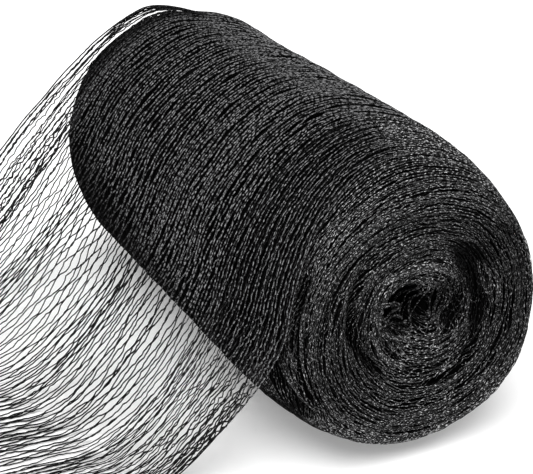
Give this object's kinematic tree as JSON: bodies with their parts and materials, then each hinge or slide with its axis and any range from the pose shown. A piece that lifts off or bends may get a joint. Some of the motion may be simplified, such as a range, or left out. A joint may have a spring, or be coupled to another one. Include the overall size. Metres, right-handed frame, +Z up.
{
  "type": "roll of pond netting",
  "caption": "Wound roll of knitted black pond netting lying on its side, rounded at both ends, with its loose net end drawn off it and laid flat on the floor.",
  "frame": {"origin": "middle of the small flat spot on the floor that the roll lies on", "axes": "+X along the roll's axis towards its open swirl, -Y the way the loose end is drawn off, +Z up"},
  "size_m": [0.3464, 0.3503, 0.1839],
  "materials": {
    "netting": "knitted black polyethylene yarn, slightly glossy"
  },
  "bodies": {
    "root": {"net_roll": "netting", "net_loose_end": "netting"}
  },
  "joints": []
}
